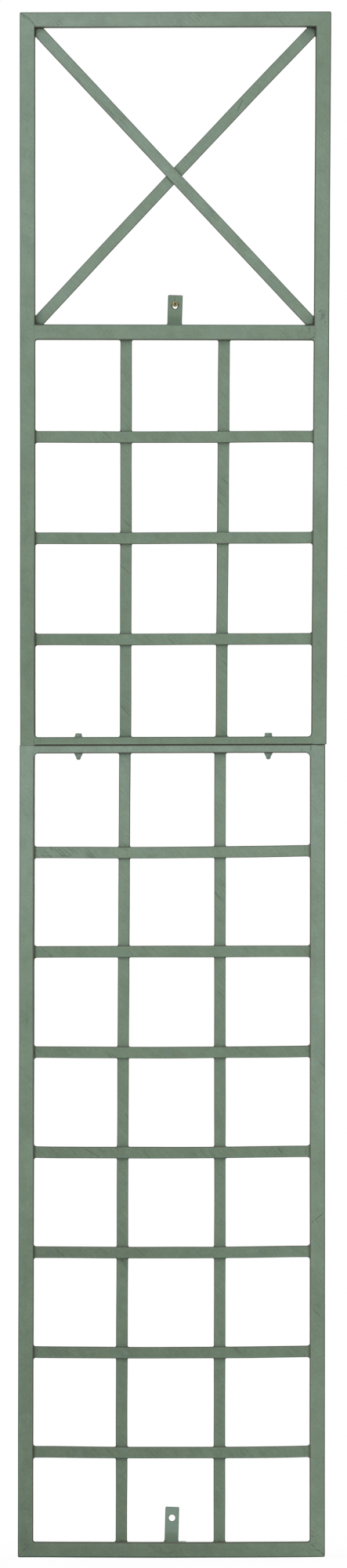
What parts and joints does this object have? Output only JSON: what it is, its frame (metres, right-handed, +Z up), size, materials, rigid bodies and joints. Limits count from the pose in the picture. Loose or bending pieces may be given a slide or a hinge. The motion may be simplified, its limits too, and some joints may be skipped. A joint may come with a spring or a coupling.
{
  "type": "espalier frame",
  "caption": "Tall flat metal espalier frame: two welded slat-lattice panels bolted end to end, an X-braced field on top, and rear lugs to screw it to a wall.",
  "frame": {"origin": "under the middle of the bottom rail, half way through the depth of its tube", "axes": "+X to the right seen from the front, -Y towards the viewer, +Y towards the wall, +Z up"},
  "size_m": [0.4, 0.06, 2],
  "materials": {
    "tube_paint": "satin sage green paint with a dark brown glaze in corners and along edges",
    "slat_paint": "satin sage green paint, brushed dark scratches and dark edges",
    "lug_paint": "satin sage green paint, hardly worn",
    "weld_paint": "painted weld bead with dark glaze",
    "fastener_paint": "painted steel fastener",
    "screw_brass": "yellow-plated screw"
  },
  "bodies": {
    "frame": {"upper_left_stile": "tube_paint", "upper_right_stile": "tube_paint", "upper_top_rail": "tube_paint", "upper_mid_rail": "tube_paint", "upper_seam_rail": "tube_paint", "brace_front": "slat_paint", "brace_rear": "slat_paint", "upper_left_slat": "slat_paint", "upper_right_slat": "slat_paint", "upper_row_1": "slat_paint", "upper_row_2": "slat_paint", "upper_row_3": "slat_paint", "upper_lug": "lug_paint", "upper_welds": "weld_paint", "lower_left_stile": "tube_paint", "lower_right_stile": "tube_paint", "lower_seam_rail": "tube_paint", "lower_bottom_rail": "tube_paint", "lower_left_slat": "slat_paint", "lower_right_slat": "slat_paint", "lower_row_1": "slat_paint", "lower_row_2": "slat_paint", "lower_row_3": "slat_paint", "lower_row_4": "slat_paint", "lower_row_5": "slat_paint", "lower_row_6": "slat_paint", "lower_row_7": "slat_paint", "lower_lug": "lug_paint", "lower_welds": "weld_paint", "wall_screw": "screw_brass"},
    "left_bolt": {"bolt_left": "fastener_paint"},
    "right_bolt": {"bolt_right": "fastener_paint"},
    "left_nut": {"nut_left": "fastener_paint"},
    "right_nut": {"nut_right": "fastener_paint"}
  },
  "joints": [
    {"name": "left_nut_travel", "type": "slide", "parent": "frame", "child": "left_nut", "axis": [0, 0, -1], "range_m": [0, 0.008]},
    {"name": "left_bolt_turn", "type": "hinge", "parent": "frame", "child": "left_bolt", "pos_m": [-0.123, 0, 1.052], "axis": [0, 0, 1], "range_deg": [0, 2880]},
    {"name": "right_nut_travel", "type": "slide", "parent": "frame", "child": "right_nut", "axis": [0, 0, -1], "range_m": [0, 0.008]},
    {"name": "right_bolt_turn", "type": "hinge", "parent": "frame", "child": "right_bolt", "pos_m": [0.123, 0, 1.052], "axis": [0, 0, 1], "range_deg": [0, 2880]}
  ],
  "couplings": [
    {"joint": "left_bolt_turn", "follows": "left_nut_travel", "rad_per_m": 6283.2},
    {"joint": "right_bolt_turn", "follows": "right_nut_travel", "rad_per_m": 6283.2}
  ]
}
